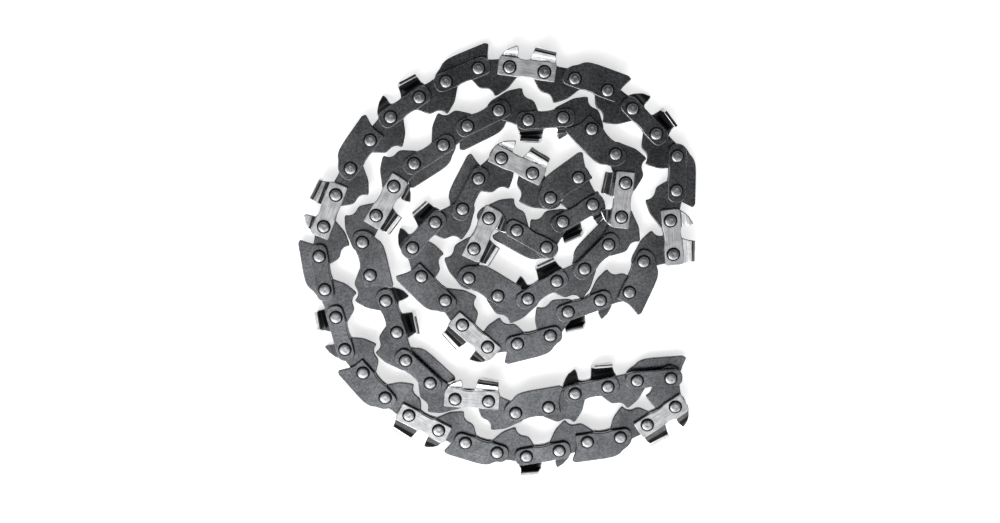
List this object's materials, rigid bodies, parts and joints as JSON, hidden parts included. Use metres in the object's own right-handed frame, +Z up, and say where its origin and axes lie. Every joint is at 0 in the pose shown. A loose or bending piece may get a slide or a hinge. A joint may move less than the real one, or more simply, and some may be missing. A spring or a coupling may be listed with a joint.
{
  "type": "chainsaw chain loop",
  "caption": "Closed loop of low-profile saw chain lying in a flat coil: hooked drive links, tie straps, finned bumper straps and left and right cutters, held by spun rivets.",
  "frame": {"origin": "under the middle of the coil's outline, on the surface that the chain lies on", "axes": "+Z up, along the rivets; +Y across the coil's longer side; +X across its shorter side, towards the open end of the coil"},
  "size_m": [0.1178, 0.1306, 0.0064],
  "materials": {
    "bright_cutter_steel": "bright hard-chromed sheet steel",
    "blued_strap_steel": "dark blued sheet steel, tumbled edges",
    "blued_drive_steel": "dark blued sheet steel, tumbled edges",
    "rivet_steel": "bare steel with spun heads"
  },
  "bodies": {
    "root": {"drive_links": "blued_drive_steel", "left_bumper_strap_01": "blued_strap_steel", "left_bumper_strap_02": "blued_strap_steel", "left_bumper_strap_03": "blued_strap_steel", "left_bumper_strap_04": "blued_strap_steel", "left_bumper_strap_05": "blued_strap_steel", "left_bumper_strap_06": "blued_strap_steel", "left_bumper_strap_07": "blued_strap_steel", "left_bumper_strap_08": "blued_strap_steel", "left_bumper_strap_09": "blued_strap_steel", "left_bumper_strap_10": "blued_strap_steel", "left_bumper_strap_11": "blued_strap_steel", "left_cutter_01": "bright_cutter_steel", "left_cutter_02": "bright_cutter_steel", "left_cutter_03": "bright_cutter_steel", "left_cutter_04": "bright_cutter_steel", "left_cutter_05": "bright_cutter_steel", "left_cutter_06": "bright_cutter_steel", "left_cutter_07": "bright_cutter_steel", "left_cutter_08": "bright_cutter_steel", "left_cutter_09": "bright_cutter_steel", "left_cutter_10": "bright_cutter_steel", "left_cutter_11": "bright_cutter_steel", "left_tie_straps": "blued_strap_steel", "right_bumper_strap_01": "blued_strap_steel", "right_bumper_strap_02": "blued_strap_steel", "right_bumper_strap_03": "blued_strap_steel", "right_bumper_strap_04": "blued_strap_steel", "right_bumper_strap_05": "blued_strap_steel", "right_bumper_strap_06": "blued_strap_steel", "right_bumper_strap_07": "blued_strap_steel", "right_bumper_strap_08": "blued_strap_steel", "right_bumper_strap_09": "blued_strap_steel", "right_bumper_strap_10": "blued_strap_steel", "right_bumper_strap_11": "blued_strap_steel", "right_bumper_strap_12": "blued_strap_steel", "right_cutter_01": "bright_cutter_steel", "right_cutter_02": "bright_cutter_steel", "right_cutter_03": "bright_cutter_steel", "right_cutter_04": "bright_cutter_steel", "right_cutter_05": "bright_cutter_steel", "right_cutter_06": "bright_cutter_steel", "right_cutter_07": "bright_cutter_steel", "right_cutter_08": "bright_cutter_steel", "right_cutter_09": "bright_cutter_steel", "right_cutter_10": "bright_cutter_steel", "right_cutter_11": "bright_cutter_steel", "right_tie_straps": "blued_strap_steel", "rivets": "rivet_steel"}
  },
  "joints": []
}
